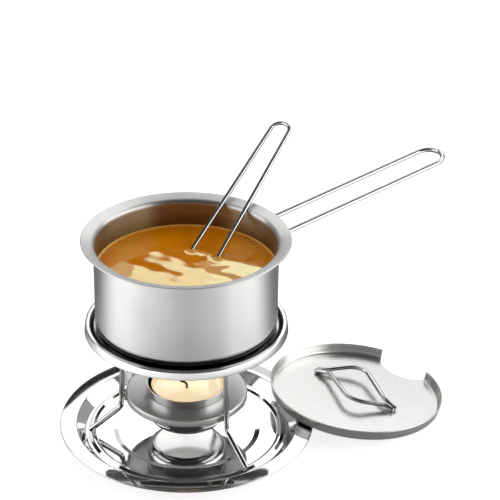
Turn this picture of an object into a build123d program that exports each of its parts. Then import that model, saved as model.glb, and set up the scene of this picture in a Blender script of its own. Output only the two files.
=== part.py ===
from build123d import *
import math
import os

# A small sauce-warmer ("fondue") set in stainless steel: a tray, a wire-legged stand with a
# tealight holder, a flared pot with a wire handle, a wire ladle, and the pot's notched lid.
# Millimetres, +Z up.  The origin is the centre of the tray's underside, where it rests.

# ---- sheet and wire -------------------------------------------------------------------
sheet = 0.7                     # tray, pot, lid and shelf wall
ring_sheet = 0.8                # stand ring wall
holder_sheet = 0.6
bowl_sheet = 0.6
leg_wire = 2.8                  # diameters
handle_wire = 2.6
lid_wire = 2.4
ladle_wire = 2.2
hair = 0.3                      # gap left between pieces that only lie near each other

# ---- tray -----------------------------------------------------------------------------
tray_r = 65.25
tray_height = 6.6
tray_rim_r = 56.9               # inner edge of the flat rim
tray_wall_r = 52.0              # foot of the wall
tray_seat_z = 1.5               # outer floor, one step above the middle
tray_step_r = 35.0              # edge of the middle, which rests on the table
tray_step_run = 3.0
bead_r = 48.8                   # raised bead that the legs stand on
bead_half = 1.9
bead_height = 1.1
bead_crown = 0.4                # half of the bead's flat top
tray_bends = [2.0, 2.0, 1.2, 0.3, 0.3, 0.5, 0.5, 1.6]   # from the middle step out to the rim

# ---- stand ----------------------------------------------------------------------------
ring_r = 51.3                   # lower edge of the skirt
ring_skirt_z = 61.1
ring_top_z = 65.5
ring_bead_r = 50.7
ring_bead_width = 2.1
ring_bends = [0.95, 0.95, 1.5]
ring_recess_r = 46.8
ring_recess_z = 63.3            # the pot stands here
ring_hole_r = 28.0
leg_angles = (-51.5, 68.5, 188.5)
leg_top_r = 31.8
leg_bend_r = 33.7
leg_bend_z = 16.8
leg_foot_r = 49.8
leg_bend = 5.0                  # bend radius
leg_slope = 39.1                # of the run down to the foot, in degrees
shelf_r = 31.3
shelf_z = 25.0
shelf_skirt = 3.6
shelf_flare = 0.4               # how far the skirt opens downwards
shelf_corner = 1.2
holder_r = 20.3                 # outer radius
holder_floor_z = 8.4            # underside
holder_lip_z = 29.9
holder_corner = 3.5
weld_r = 1.1
weld_length = 5.4
weld_out = 0.35                 # its centre line beyond the skirt's lower edge
weld_drop = 2.3                 # and below the shelf

# ---- tealight ---------------------------------------------------------------------------
light_x = 0.5                   # it stands a little off the middle of its holder
light_r = 18.7
light_height = 19.0
light_foil = 0.3
light_corner = 3.2
wax_drop = 1.2                  # wax surface below the cup's edge
wick_r = 0.75
wick_at = (-0.4, -2.0)
wick_rise = 2.6
wick_lean = (-3.4, 1.1, 0.5)    # from its bend to its tip
wick_bend = 1.6
tab_r = 6.5                     # sustainer tab that holds the wick's foot
tab_collar_r = 1.5
tab_collar = 3.0
tab_sheet = 0.3

# ---- pot --------------------------------------------------------------------------------
pot_inner_r = 45.0
pot_rim_r = 51.8
pot_rim_z = 111.9
pot_mouth_z = 109.75            # where wall and flare would meet
pot_corner = 4.3
pot_flare = 2.6
sauce_z = 95.5
pot_handle_angle = 31.3
pot_handle_pitch = 10.6
pot_handle_z = 104.0            # at the wall
pot_handle_gap = 16.6           # between the two wires' centres
pot_handle_reach = 152.4        # tip, measured from the pot's axis
pot_handle_tail = 12.0          # length turned down along the wall
pot_handle_bend = 4.5

# ---- ladle --------------------------------------------------------------------------------
ladle_angle = 59.4
ladle_pitch = 29.0
ladle_at = (9.8, 16.0, 96.6)    # middle of the handle where it leaves the sauce
ladle_gap = 15.3                # between the wires there
ladle_tip_gap = 10.5
ladle_up = 86.0                 # from there to the tip
ladle_down = 46.0               # from there to inside the bowl's wall
bowl_r = 14.0
bowl_at = (-14.5, -25.2)
bowl_floor_z = 64.3
bowl_rim_z = 78.2
bowl_draft = 2.2                # how much wider the mouth is than the floor, on the radius
bowl_corner = 7.5
bowl_over = 3.0                 # how far a block of the bowl's inside stands above its mouth

# ---- lid ----------------------------------------------------------------------------------
lid_r = 46.0
lid_foot_r = 45.1
lid_height = 5.8
lid_corner = 1.2
lid_angle = 18.0                # where it lies, seen from the tray's axis
lid_reach = 92.9
lid_gap = 0.3                   # between its underside and the tray's rim
lid_notch_angle = 49.0
lid_notch_r = 17.0
lid_notch_at = 50.4
lid_handle_at = (2.05, 1.7)
lid_end = 26.2                  # half of the handle's length
lid_foot_end = 17.5             # from its middle to the bend out of the longer foot
lid_bow_along = 9.0             # from its middle to the corner of the bow
lid_bow = 17.1
lid_bow_end = 22.6              # from its middle to the bend into the shorter foot
lid_arch = 5.1
lid_bends = [7.0, 10.0, 5.0]
lid_wire_gap = 0.04             # between the two wires' feet

OUT = "parts"


def beside(points, amount):
    """The same bent line moved sideways, to the right of its direction when amount is positive."""
    runs = []
    for (x0, y0), (x1, y1) in zip(points, points[1:]):
        length = math.hypot(x1 - x0, y1 - y0)
        runs.append(((x1 - x0) / length, (y1 - y0) / length))
    moved = []
    for i, (x, y) in enumerate(points):
        before, after = runs[max(i - 1, 0)], runs[min(i, len(runs) - 1)]
        across = (before[1] + after[1], -before[0] - after[0])
        scale = 2 * amount / (across[0] ** 2 + across[1] ** 2)
        moved.append((x + scale * across[0], y + scale * across[1]))
    return moved


def bends_left(points, i):
    (x0, y0), (x1, y1), (x2, y2) = points[i - 1:i + 2]
    return (x1 - x0) * (y2 - y1) - (y1 - y0) * (x2 - x1) > 0


def sheet_wall(points, radii, thickness):
    """Sketch of a bent sheet: a line with round bends, made solid to the right of its direction.

    A negative thickness makes it solid to the left.
    """
    far_radii = []
    for i, radius in enumerate(radii, 1):
        change = thickness if bends_left(points, i) else -thickness
        far_radii.append(max(radius + change, 0.05))
    near = FilletPolyline(*points, radius=radii)
    far = FilletPolyline(*beside(points, thickness), radius=far_radii)
    ends = [Line(near @ 0, far @ 0), Line(near @ 1, far @ 1)]
    return make_face(near.edges() + far.edges() + [end.edge() for end in ends])


def turned(sketch):
    """Turn a sketch of (radius, height) about the vertical axis."""
    return revolve(Plane.XZ * sketch, Axis.Z)


def filled(points, radii):
    """Turned solid between the axis and a line from the middle of a floor up to its brim."""
    path = FilletPolyline(*points, radius=radii)
    top = points[-1][1]
    edges = path.edges() + [Line(points[-1], (0, top)).edge(), Line((0, top), points[0]).edge()]
    return turned(make_face(edges))


def wire(path, diameter):
    """Round wire along a path."""
    start = Plane(path @ 0, z_dir=path % 0)
    return sweep(start * Circle(diameter / 2), path=path)


def polar(radius, angle):
    return radius * math.cos(math.radians(angle)), radius * math.sin(math.radians(angle))


def save(shape, name):
    shape.label = name
    export_step(shape, os.path.join(OUT, name + ".step"))


# ---- tray ---------------------------------------------------------------------------------

def base_tray():
    """Plate with a stepped floor, a raised bead round it, a sloping wall and a flat rim."""
    crown = tray_seat_z + bead_height
    points = [
        (0, sheet),
        (tray_step_r, sheet),
        (tray_step_r + tray_step_run, tray_seat_z),
        (bead_r - bead_half, tray_seat_z),
        (bead_r - bead_crown, crown),
        (bead_r + bead_crown, crown),
        (bead_r + bead_half, tray_seat_z),
        (tray_wall_r, tray_seat_z),
        (tray_rim_r, tray_height),
        (tray_r, tray_height),
    ]
    return turned(sheet_wall(points, tray_bends, sheet))


# ---- stand --------------------------------------------------------------------------------

def stand_ring():
    """Upper ring: conical skirt, rolled bead, and a recessed plate with a hole for the flame."""
    points = [
        (ring_r, ring_skirt_z),
        (ring_bead_r, ring_top_z),
        (ring_bead_r - ring_bead_width, ring_top_z),
        (ring_recess_r, ring_recess_z),
        (ring_hole_r, ring_recess_z),
    ]
    return turned(sheet_wall(points, ring_bends, -ring_sheet))


def leg_path():
    top = (leg_top_r, 0, ring_recess_z - ring_sheet)
    bend = (leg_bend_r, 0, leg_bend_z)
    rest = leg_wire / 2 * math.cos(math.radians(leg_slope))
    foot = (leg_foot_r, 0, tray_seat_z + bead_height + rest)
    return FilletPolyline(top, bend, foot, radius=leg_bend)


def stand_leg(angle):
    """One bent wire leg, its top end welded under the ring, its foot on the tray's bead."""
    leg = wire(leg_path(), leg_wire)
    under = ring_recess_z - ring_sheet
    trim = Pos(0, 0, under + tray_r / 2) * Box(2 * tray_r, 2 * tray_r, tray_r)
    return Rot(0, 0, angle) * (leg - trim)


def tealight_shelf():
    """Flat disc with a short skirt and a hole for the holder."""
    points = [
        (holder_r, shelf_z),
        (shelf_r - shelf_flare, shelf_z),
        (shelf_r, shelf_z - shelf_skirt),
    ]
    return turned(sheet_wall(points, [shelf_corner], sheet))


def tealight_holder():
    """Deep cup through the shelf, which the tealight stands in."""
    inner = holder_r - holder_sheet
    floor = holder_floor_z + holder_sheet
    points = [(0, floor), (inner, floor), (inner, holder_lip_z)]
    return turned(sheet_wall(points, [holder_corner], holder_sheet))


def leg_weld(angle, shelf, leg):
    """Weld bead that bridges the shelf's skirt and a leg."""
    height = shelf_z - weld_drop
    middle = shelf_r + weld_out
    bead = Pos(middle, 0, height) * Rot(90, 0, 0) * Cylinder(weld_r, weld_length)
    tips = Pos(middle, weld_length / 2, height) * Sphere(weld_r)
    tips += Pos(middle, -weld_length / 2, height) * Sphere(weld_r)
    bead = Rot(0, 0, angle) * (bead + tips)
    return bead - shelf - shelf_core() - leg


def shelf_core():
    """Everything inside the shelf's skirt, which a weld bead outside it never reaches."""
    return Pos(0, 0, shelf_z - shelf_skirt / 2) * Cylinder(shelf_r - sheet, 2 * shelf_skirt)


# ---- tealight -----------------------------------------------------------------------------

def light_floor():
    return holder_floor_z + holder_sheet


def tealight_cup():
    inner = light_r - light_foil
    floor = light_floor() + light_foil
    points = [(0, floor), (inner, floor), (inner, light_floor() + light_height)]
    cup = turned(sheet_wall(points, [light_corner], light_foil))
    return Pos(light_x, 0, 0) * cup


def wick_path():
    x, y = light_x + wick_at[0], wick_at[1]
    foot = light_floor() + light_foil + tab_sheet
    top = light_floor() + light_height - wax_drop + wick_rise
    tip = (x + wick_lean[0], y + wick_lean[1], top + wick_lean[2])
    return FilletPolyline((x, y, foot), (x, y, top), tip, radius=wick_bend)


def tealight_wick():
    return wire(wick_path(), 2 * wick_r)


def wick_sustainer():
    """Thin tab with a collar crimped round the wick's foot."""
    x, y = light_x + wick_at[0], wick_at[1]
    floor = light_floor() + light_foil
    collar = Pos(x, y, floor + tab_sheet + tab_collar / 2)
    tab = Pos(x, y, floor + tab_sheet / 2) * Cylinder(tab_r, tab_sheet)
    tab += collar * Cylinder(tab_collar_r, tab_collar)
    hole = collar * Cylinder(wick_r, tab_collar)
    return tab - hole


def tealight_wax(wick, sustainer):
    """Wax that fills the cup round the wick and its tab."""
    inner = light_r - light_foil
    floor = light_floor() + light_foil
    top = light_floor() + light_height - wax_drop
    body = filled([(0, floor), (inner, floor), (inner, top)], [light_corner])
    return Pos(light_x, 0, 0) * body - wick - sustainer


# ---- pot ----------------------------------------------------------------------------------

def pot_inside():
    floor = ring_recess_z + sheet
    return [(0, floor), (pot_inner_r, floor), (pot_inner_r, pot_mouth_z), (pot_rim_r, pot_rim_z)]


def pot_body():
    """Straight-sided pot with a rounded foot and a turned-out pouring rim."""
    return turned(sheet_wall(pot_inside(), [pot_corner, pot_flare], sheet))


def pot_handle():
    """One wire bent into a long loop, its two ends turned down and welded to the wall."""
    half = pot_handle_gap / 2
    wall = math.sqrt((pot_inner_r + sheet + handle_wire / 2) ** 2 - half ** 2)
    slope = math.tan(math.radians(pot_handle_pitch))
    lift = math.cos(math.radians(pot_handle_pitch))
    arm = pot_handle_reach - half * lift - wall

    def side(sign):
        foot = (wall, sign * half, pot_handle_z - pot_handle_tail)
        knee = (wall, sign * half, pot_handle_z)
        end = (wall + arm, sign * half, pot_handle_z + arm * slope)
        return FilletPolyline(foot, knee, end, radius=pot_handle_bend)

    left, right = side(1), side(-1)
    tip_z = pot_handle_z + arm * slope + half * lift * slope
    tip = ThreePointArc(left @ 1, (pot_handle_reach, 0, tip_z), right @ 1)
    path = Wire(left.edges() + tip.edges() + right.edges())
    return Rot(0, 0, pot_handle_angle) * wire(path, handle_wire)


# ---- ladle --------------------------------------------------------------------------------

def ladle_axes():
    """Middle of the handle, its direction up to the tip, and its sideways direction."""
    turn, tilt = math.radians(ladle_angle), math.radians(ladle_pitch)
    along = Vector(math.cos(turn) * math.cos(tilt), math.sin(turn) * math.cos(tilt), math.sin(tilt))
    across = Vector(math.sin(turn), -math.cos(turn), 0)
    return Vector(*ladle_at), along, across


def ladle_half_gap(distance):
    """Half the gap between the wires, which come together towards the tip."""
    straight = ladle_up - ladle_tip_gap / 2
    return (ladle_gap + (ladle_tip_gap - ladle_gap) * distance / straight) / 2


def ladle_wire_path():
    middle, along, across = ladle_axes()
    straight = ladle_up - ladle_tip_gap / 2

    def at(distance, sign):
        return middle + along * distance + across * sign * ladle_half_gap(distance)

    left = Line(at(-ladle_down, -1), at(straight, -1))
    tip = ThreePointArc(at(straight, -1), middle + along * ladle_up, at(straight, 1))
    right = Line(at(straight, 1), at(-ladle_down, 1))
    return Wire([left.edge(), tip.edge(), right.edge()])


def bowl_line(extra=0):
    """Inner line of the bowl, from its middle to its mouth or further up the same slope."""
    floor = bowl_floor_z + bowl_sheet
    mouth = bowl_r - bowl_sheet
    spread = bowl_draft * extra / (bowl_rim_z - floor)
    return [(0, floor), (mouth - bowl_draft, floor), (mouth + spread, bowl_rim_z + extra)]


def ladle_bowl():
    bowl = turned(sheet_wall(bowl_line(), [bowl_corner], bowl_sheet))
    return Pos(*bowl_at, 0) * bowl


def bowl_block(grow):
    """The bowl's inside as a block that stands above its mouth, grown all round."""
    block = filled(beside(bowl_line(bowl_over), grow), [bowl_corner + grow])
    return Pos(*bowl_at, 0) * block


def ladle_handle():
    """One wire loop, both ends welded to the outside of the bowl."""
    return wire(ladle_wire_path(), ladle_wire) - bowl_block(bowl_sheet)


def sauce():
    """Melted butter or sauce that fills the pot round the ladle."""
    floor = ring_recess_z + sheet
    pool = filled([(0, floor), (pot_inner_r, floor), (pot_inner_r, sauce_z)], [pot_corner])
    shell = bowl_block(bowl_sheet + hair) - bowl_block(-hair)
    return pool - shell - wire(ladle_wire_path(), ladle_wire + 2 * hair)


# ---- lid ----------------------------------------------------------------------------------

def lay_lid(shape, plate):
    """Turn a lid piece from its own frame and lay it half on the tray and half on the table."""
    notch = Rot(0, 0, lid_notch_angle - lid_angle)
    run = lid_reach + lid_foot_r - tray_r
    tilt = math.degrees(math.atan2(tray_height + lid_gap, run))
    lean = Rot(0, 0, lid_angle) * Rot(0, tilt, 0) * notch
    drop = (lean * plate).bounding_box().min.Z
    x, y = polar(lid_reach, lid_angle)
    return Pos(x, y, -drop) * lean * shape


def lid_plate():
    """Shallow dish in its own frame: flat floor, flaring wall, and a notch at +X."""
    points = [(0, 0), (lid_foot_r, 0), (lid_r, lid_height)]
    dish = turned(sheet_wall(points, [lid_corner], -sheet))
    return dish - Pos(lid_notch_at, 0, 0) * Cylinder(lid_notch_r, 4 * lid_height)


def lid_handle(sign):
    """One of the two wires of the lid's handle, bowed out and arched over the floor."""
    foot = (lid_wire + lid_wire_gap) / 2

    def at(along, across):
        rise = sheet + lid_wire / 2 + lid_arch * (1 - (along / lid_end) ** 2)
        return lid_handle_at[0] - sign * across, lid_handle_at[1] - sign * along, rise

    points = [
        at(-lid_end, foot),
        at(-lid_foot_end, foot),
        at(lid_bow_along, lid_bow),
        at(lid_bow_end, foot),
        at(lid_end, foot),
    ]
    return wire(FilletPolyline(*points, radius=lid_bends), lid_wire)


def build():
    os.makedirs(OUT, exist_ok=True)
    save(base_tray(), "base_tray")

    ring, shelf = stand_ring(), tealight_shelf()
    save(ring, "stand_ring")
    save(shelf, "tealight_shelf")
    save(tealight_holder(), "tealight_holder")
    for number, angle in enumerate(leg_angles, 1):
        leg = stand_leg(angle)
        save(leg, f"stand_leg_{number}")
        save(leg_weld(angle, shelf, leg), f"leg_weld_{number}")

    wick, sustainer = tealight_wick(), wick_sustainer()
    save(tealight_cup(), "tealight_cup")
    save(wick, "tealight_wick")
    save(sustainer, "wick_sustainer")
    save(tealight_wax(wick, sustainer), "tealight_wax")

    save(pot_body(), "pot_body")
    save(pot_handle(), "pot_handle")
    save(sauce(), "sauce")
    save(ladle_bowl(), "ladle_bowl")
    save(ladle_handle(), "ladle_handle")

    plate = lid_plate()
    save(lay_lid(plate, plate), "lid_plate")
    save(lay_lid(lid_handle(1), plate), "lid_handle_near")
    save(lay_lid(lid_handle(-1), plate), "lid_handle_far")


build()
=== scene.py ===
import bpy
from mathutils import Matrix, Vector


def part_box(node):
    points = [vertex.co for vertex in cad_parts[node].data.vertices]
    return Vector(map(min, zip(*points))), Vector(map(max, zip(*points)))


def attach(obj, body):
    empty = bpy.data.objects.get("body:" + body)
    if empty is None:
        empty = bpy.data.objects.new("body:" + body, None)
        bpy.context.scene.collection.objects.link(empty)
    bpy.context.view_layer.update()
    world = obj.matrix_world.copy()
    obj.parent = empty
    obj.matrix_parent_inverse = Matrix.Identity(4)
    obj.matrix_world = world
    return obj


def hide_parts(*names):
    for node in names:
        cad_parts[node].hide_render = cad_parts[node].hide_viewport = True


bl_info = {
    "name": "Small fondue pot set",
    "version": (1, 0, 0),
    "blender": (4, 5, 0),
    "location": "3D View > Sidebar > Fondue",
    "description": "Builds a stainless sauce-warmer set round its packed frame",
    "category": "Object",
}

import math
from types import SimpleNamespace

import bpy
import numpy as np
from bpy.props import FloatProperty, FloatVectorProperty, PointerProperty
from mathutils import Matrix, Vector

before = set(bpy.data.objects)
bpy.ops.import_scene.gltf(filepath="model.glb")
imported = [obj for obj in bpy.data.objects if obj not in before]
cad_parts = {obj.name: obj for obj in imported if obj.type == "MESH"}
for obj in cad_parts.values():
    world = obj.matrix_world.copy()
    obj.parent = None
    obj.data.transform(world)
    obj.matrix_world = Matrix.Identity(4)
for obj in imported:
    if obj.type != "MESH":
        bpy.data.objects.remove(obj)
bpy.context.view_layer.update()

# Shapes are worked out in millimetres and degrees; MM takes them to metres.
MM = 0.001
SHEET = 0.7
THIN_SHEET = 0.6
RING_SHEET = 0.8
SIDES = 288
BEAD_RISE = 1.1
TRAY_SEAT = 1.5
RING_DROP = 2.2
LEG_TURNS = (-51.5, 68.5, 188.5)
CUP_FLOOR = 9.3
WAX_LEVEL = 26.8
WICK_AT = (0.1, -2.0)
CANDLE_AT = (0.5, 0)
HANDLE_TURN = 31.3
LADLE_BOWL_AT = (-14.5, -25.2)
LADLE_HALF = 7.65
LID_ANGLE = 18.0
LID_REACH = 92.9
LID_FOOT_R = 45.1
LID_NOTCH_TURN = 31.0
TRAY_EDGE = 65.25
LID_RISE = 6.9
LID_TILT = math.atan2(LID_RISE, LID_REACH + LID_FOOT_R - TRAY_EDGE)


# ---- lines and surfaces ---------------------------------------------------------------

def unit(vector):
    """The same direction at length one."""
    return vector / np.linalg.norm(vector, axis=-1, keepdims=True)


def rounded(points, radii, steps=9, guard=0.12):
    """Bent line, in two or three dimensions, with a round arc at each corner.

    With a the turn at the corner, the arc's point at s in 0..1 is
    centre + (start * sin((1 - s) a) + end * sin(s a)) / sin(a), start and end measured
    from the centre. A guard point on each side of an arc keeps the shading of the straight
    runs flat.
    """
    points = np.asarray(points, float)
    parts = [points[:1]]
    for i, radius in enumerate(radii, 1):
        into, out = unit(points[i] - points[i - 1]), unit(points[i + 1] - points[i])
        turn = math.acos(np.clip(into @ out, -1, 1))
        if radius <= 0 or turn < 1e-3:
            parts.append(points[i:i + 1])
            continue
        cut = radius * math.tan(turn / 2)
        start, end = points[i] - into * cut, points[i] + out * cut
        centre = points[i] + unit(out - into) * radius / math.cos(turn / 2)
        s = np.linspace(0, 1, steps)[:, None]
        arc = (start - centre) * np.sin((1 - s) * turn) + (end - centre) * np.sin(s * turn)
        before = min(guard, 0.4 * np.linalg.norm(start - points[i - 1]))
        after = min(guard, 0.4 * np.linalg.norm(points[i + 1] - end))
        parts += [start - into * before, centre + arc / math.sin(turn), end + out * after]
    parts.append(points[-1:])
    line = np.vstack(parts)
    far = measured(line)[0] > 1e-5
    return line[np.concatenate([[True], far])]


def beside(points, amount):
    """The same bent line moved sideways, to the right of its direction when amount is positive."""
    points = np.asarray(points, float)
    runs = unit(np.diff(points, axis=0))
    before, after = np.vstack([runs[:1], runs]), np.vstack([runs, runs[-1:]])
    both = before + after
    across = np.stack([both[:, 1], -both[:, 0]], 1)
    return points + 2 * amount * across / (across ** 2).sum(1)[:, None]


def half_round(near, far, out, steps=7):
    """Rounded edge of a sheet: centre + half * cos(t) + out * |half| * sin(t), t from 0 to pi."""
    centre, half = (near + far) / 2, (near - far) / 2
    t = np.linspace(0, math.pi, steps)[1:-1].reshape(-1, *[1] * half.ndim)
    bulge = out * np.linalg.norm(half, axis=-1, keepdims=True)
    return centre + half * np.cos(t) + bulge * np.sin(t)


def sheet_outline(points, radii, thickness, steps=9):
    """Outline of a bent sheet: its line, and the line beside it, joined by rounded edges.

    It is solid to the right of the line's direction where thickness is positive. A line
    that starts on the axis gives an outline from pole to pole, and any other a closed one.
    """
    points = np.asarray(points, float)
    runs = np.diff(points, axis=0)
    turns = runs[:-1, 0] * runs[1:, 1] - runs[:-1, 1] * runs[1:, 0]
    change = np.where(turns > 0, thickness, -thickness)
    near = rounded(points, radii, steps)
    far = rounded(beside(points, thickness), np.maximum(np.asarray(radii) + change, 0.05), steps)
    trim = abs(thickness) / 2
    out = unit(runs[-1])
    near[-1] -= out * trim
    far[-1] -= out * trim
    loop = [near, half_round(near[-1], far[-1], out), far[::-1]]
    if points[0, 0] > 1e-9:
        back = -unit(runs[0])
        near[0] -= back * trim
        far[0] -= back * trim
        loop.append(half_round(far[0], near[0], back))
    return np.vstack(loop)


def grid_faces(rows, columns, wrap_rows):
    """Quads between neighbouring rows of a grid whose columns close on themselves."""
    last = rows if wrap_rows else rows - 1
    i, j = np.meshgrid(np.arange(last), np.arange(columns), indexing="ij")
    k, m = (i + 1) % rows, (j + 1) % columns
    corners = [i * columns + j, i * columns + m, k * columns + m, k * columns + j]
    return np.stack(corners, -1).reshape(-1, 4)


def skin(grid, closed=False):
    """Vertices and faces of a grid of points: rows along the shape, columns once round it.

    A closed one has its last row joined to its first. On an open one both end rows shrink
    to one point each, so that the skin has no hole.
    """
    rows, columns = grid.shape[:2]
    if closed:
        return grid.reshape(-1, 3), grid_faces(rows, columns, True).tolist()
    first, last = grid[0].mean(0), grid[-1].mean(0)
    body = grid[1:-1].reshape(-1, 3)
    faces = grid_faces(rows - 2, columns, False).tolist()
    j = np.arange(columns)
    m = (j + 1) % columns
    top, bottom = len(body), len(body) + 1
    start = (rows - 3) * columns
    faces += np.stack([m, j, np.full(columns, top)], 1).tolist()
    faces += np.stack([start + j, start + m, np.full(columns, bottom)], 1).tolist()
    return np.vstack([body, first, last]), faces


def turns(sides):
    """Equal angles once round."""
    return np.arange(sides) * 2 * math.pi / sides


def about_axis(r, z, t, centre=(0, 0)):
    """Grid of the points (r cos t, r sin t, z), measured from a centre."""
    x, y = centre[0] + r * np.cos(t), centre[1] + r * np.sin(t)
    return np.stack([x, y, z + 0 * x], -1)


def spun(outline, sides=SIDES, centre=(0, 0)):
    """Turned surface: every point (r, z) of the outline goes once round the centre."""
    outline = np.asarray(outline, float)
    grid = about_axis(outline[:, :1], outline[:, 1:], turns(sides), centre)
    return skin(grid, closed=outline[0, 0] > 1e-6)


def measured(line):
    """Lengths of a line's runs, and each point's distance along it."""
    gaps = np.linalg.norm(np.diff(line, axis=0), axis=1)
    return gaps, np.concatenate([[0], np.cumsum(gaps)])


def even(line, spacing):
    """The same line with extra points, so that none are further apart than spacing."""
    gaps, at = measured(line)
    pieces = np.maximum(1, np.ceil(gaps / spacing).astype(int))
    share = np.concatenate([np.arange(n) / n for n in pieces])
    start = np.repeat(at[:-1], pieces) + share * np.repeat(gaps, pieces)
    s = np.append(start, at[-1])
    return np.stack([np.interp(s, at, line[:, k]) for k in range(line.shape[1])], 1)


def wire(path, radius, reference, sides=36, cap=6):
    """Round wire: path + radius * (side cos t + up sin t), with a flat dome on each end.

    side = path direction x reference, and up = side x path direction. A dome is half as
    high as the radius, in cap rows.
    """
    path = np.asarray(path, float)
    ahead = unit(np.gradient(path, axis=0))
    dome = np.linspace(0, math.pi / 2, cap + 1)[1:]
    lead = path[0] - ahead[0] * radius * 0.5 * np.sin(dome[::-1, None])
    tail = path[-1] + ahead[-1] * radius * 0.5 * np.sin(dome[:, None])
    shrink = np.cos(dome)
    radii = radius * np.concatenate([shrink[::-1], np.ones(len(path)), shrink])
    ahead = np.vstack([np.repeat(ahead[:1], cap, 0), ahead, np.repeat(ahead[-1:], cap, 0)])
    line = np.vstack([lead, path, tail])
    side = unit(np.cross(ahead, reference))
    up = np.cross(side, ahead)
    t = turns(sides)
    spread = side[:, None] * np.cos(t)[:, None] + up[:, None] * np.sin(t)[:, None]
    return skin(line[:, None] + spread * radii[:, None, None])


def turn_z(points, degrees):
    """Points turned about the vertical axis."""
    a = math.radians(degrees)
    c, s = math.cos(a), math.sin(a)
    return np.asarray(points, float) @ np.array([[c, s, 0], [-s, c, 0], [0, 0, 1]])


def outward(vertices, faces):
    """The faces turned so that the closed shape's signed volume is positive."""
    quads = np.array([f if len(f) == 4 else [*f, f[2]] for f in faces])
    p = vertices[quads] - vertices.mean(0)
    volume = np.einsum("ij,ij->i", p[:, 0], np.cross(p[:, 1], p[:, 2])).sum()
    volume += np.einsum("ij,ij->i", p[:, 0], np.cross(p[:, 2], p[:, 3])).sum()
    return faces if volume > 0 else [f[::-1] for f in faces]


def new_object(name, vertices, faces, material, smooth=False):
    """Put a mesh in metres into the scene as an object at the origin."""
    mesh = bpy.data.meshes.new(name)
    mesh.from_pydata(vertices, [], faces)
    mesh.polygons.foreach_set("use_smooth", np.full(len(mesh.polygons), smooth))
    mesh.materials.append(material)
    mesh.validate()
    made = bpy.data.objects.new(name, mesh)
    bpy.context.scene.collection.objects.link(made)
    return made


def piece(name, shapes, material, body, slot, *stands_for):
    """Put one or more closed shapes, in millimetres, into one object of the set."""
    vertices, faces, offset = [], [], 0
    for points, polygons in shapes:
        polygons = outward(points, polygons)
        faces += [[i + offset for i in polygon] for polygon in polygons]
        vertices.append(points)
        offset += len(points)
    made = new_object(name, (np.vstack(vertices) * MM).tolist(), faces, material,
                      smooth=True)
    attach(made, body)
    if stands_for:
        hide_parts(*stands_for)
    return made


# ---- materials --------------------------------------------------------------------------

class Recipe:
    """A material or a world being put together: adds nodes and joins their sockets."""

    def __init__(self, name, kind="materials"):
        self.block = getattr(bpy.data, kind).new(name)
        self.block.use_nodes = True
        self.tree = self.block.node_tree

    def feed(self, node, inputs):
        """Set or join each named or numbered input."""
        for key, value in inputs.items():
            if isinstance(value, bpy.types.NodeSocket):
                self.tree.links.new(value, node.inputs[key])
            else:
                node.inputs[key].default_value = value

    def add(self, kind, inputs=None, output=0, **settings):
        """Add a node and give back one of its outputs."""
        node = self.tree.nodes.new("ShaderNode" + kind)
        for key, value in settings.items():
            setattr(node, key, value)
        self.feed(node, inputs or {})
        return node.outputs[output]

    def made(self, inputs):
        """Feed the shader and give back the finished material."""
        self.feed(self.tree.nodes["Principled BSDF"], inputs)
        return self.block

    def facing_camera(self, lit, seen, output):
        """Join to the output node one shader for camera rays, and another for all others."""
        camera_ray = self.add("LightPath", output="Is Camera Ray")
        mixed = self.add("MixShader", {0: camera_ray, 1: lit, 2: seen})
        self.feed(self.tree.nodes[output], {0: mixed})

    def math(self, operation, first, second=0.0):
        """One sum on one or two numbers."""
        return self.add("Math", {0: first, 1: second}, operation=operation)

    def vector(self, operation, first, second=(0, 0, 0), output=0):
        """One sum on one or two vectors."""
        return self.add("VectorMath", {0: first, 1: second}, output, operation=operation)

    def radius(self, place):
        """Distance from the upright axis."""
        return self.vector("LENGTH", self.vector("MULTIPLY", place, (1, 1, 0)), output="Value")

    def height(self, place):
        """The third of three coordinates."""
        return self.add("SeparateXYZ", {0: place}, "Z")

    def ramp(self, value, low, high, to_low, to_high):
        """A smooth change from to_low to to_high while the value goes from low to high."""
        inputs = {0: value, 1: low, 2: high, 3: to_low, 4: to_high}
        return self.add("MapRange", inputs, interpolation_type="SMOOTHSTEP")

    def mix(self, share, first, second):
        """Two colours mixed: the node takes them at inputs 6 and 7, and gives output 2."""
        return self.add("Mix", {0: share, 6: first, 7: second}, 2, data_type="RGBA")

    def noise(self, vector, scale, detail=2.0, roughness=0.5):
        """Cloudy noise about 0.5; one cloud is about 1 / scale metres across."""
        inputs = {"Vector": vector, "Scale": scale, "Detail": detail, "Roughness": roughness}
        return self.add("TexNoise", inputs)

    def bump(self, height, strength, distance):
        """Fine relief, at most distance metres high."""
        return self.add("Bump", {"Strength": strength, "Distance": distance, "Height": height})

    def place(self, centre=(0, 0, 0), turn=(0, 0, 0)):
        """Object coordinates measured from a piece's own middle."""
        position = self.add("TexCoord", output="Object")
        inputs = {"Vector": position, "Location": centre, "Rotation": turn}
        return self.add("Mapping", inputs, vector_type="TEXTURE")


def shade(colour, factor=1.0):
    """A colour times one factor, or times a factor for each channel, with full opacity."""
    return (*(np.array(tuple(colour)) * factor).tolist(), 1.0)


def lathe_vector(recipe, place, lines):
    """Nearly constant round the axis, and changing fast along the profile, r + z."""
    along = recipe.math("ADD", recipe.radius(place), recipe.height(place))
    flat = recipe.vector("MULTIPLY", place, (1, 1, 0))
    inputs = {0: recipe.vector("NORMALIZE", flat), "Scale": 0.7}
    around = recipe.add("VectorMath", inputs, operation="SCALE")
    ahead = recipe.add("CombineXYZ", {2: recipe.math("MULTIPLY", along, lines)})
    return recipe.vector("ADD", around, ahead)


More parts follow.
